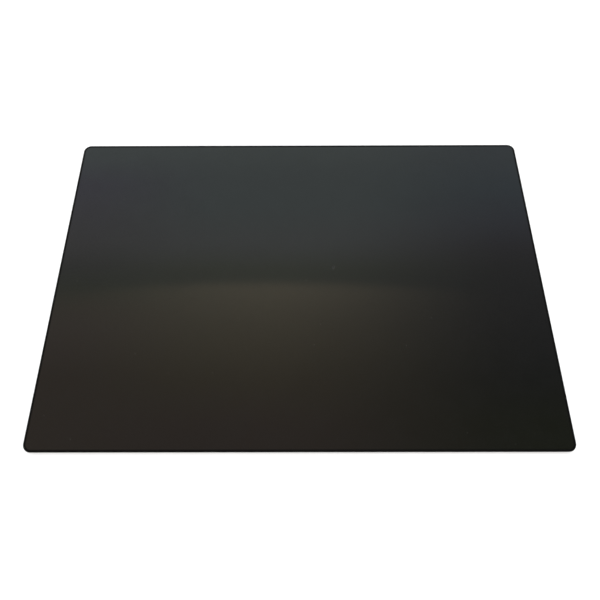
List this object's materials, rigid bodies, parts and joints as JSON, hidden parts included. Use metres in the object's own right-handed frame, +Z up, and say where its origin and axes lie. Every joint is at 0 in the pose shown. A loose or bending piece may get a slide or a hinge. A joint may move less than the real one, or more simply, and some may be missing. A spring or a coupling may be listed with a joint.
{
  "type": "self healing cutting mat",
  "caption": "Flat black self healing cutting mat with rounded corners, laid on a bench under leather while it is cut, skived or punched.",
  "frame": {"origin": "centre of the underside, where the mat rests on the bench", "axes": "+X along the mat's length, +Y along its width away from the user, +Z up out of the work face"},
  "size_m": [0.45, 0.3, 0.003],
  "materials": {
    "cutting_sheet": "black soft PVC with a smooth satin skin, rolled between polished plates",
    "backing_sheet": "black hard PVC, seen only as a dull line at the cut edge",
    "core_sheet": "charcoal PVC, seen only as a dull line at the cut edge"
  },
  "bodies": {
    "root": {"lower_cutting_sheet": "cutting_sheet", "lower_backing_sheet": "backing_sheet", "core_sheet": "core_sheet", "upper_backing_sheet": "backing_sheet", "upper_cutting_sheet": "cutting_sheet"}
  },
  "joints": []
}
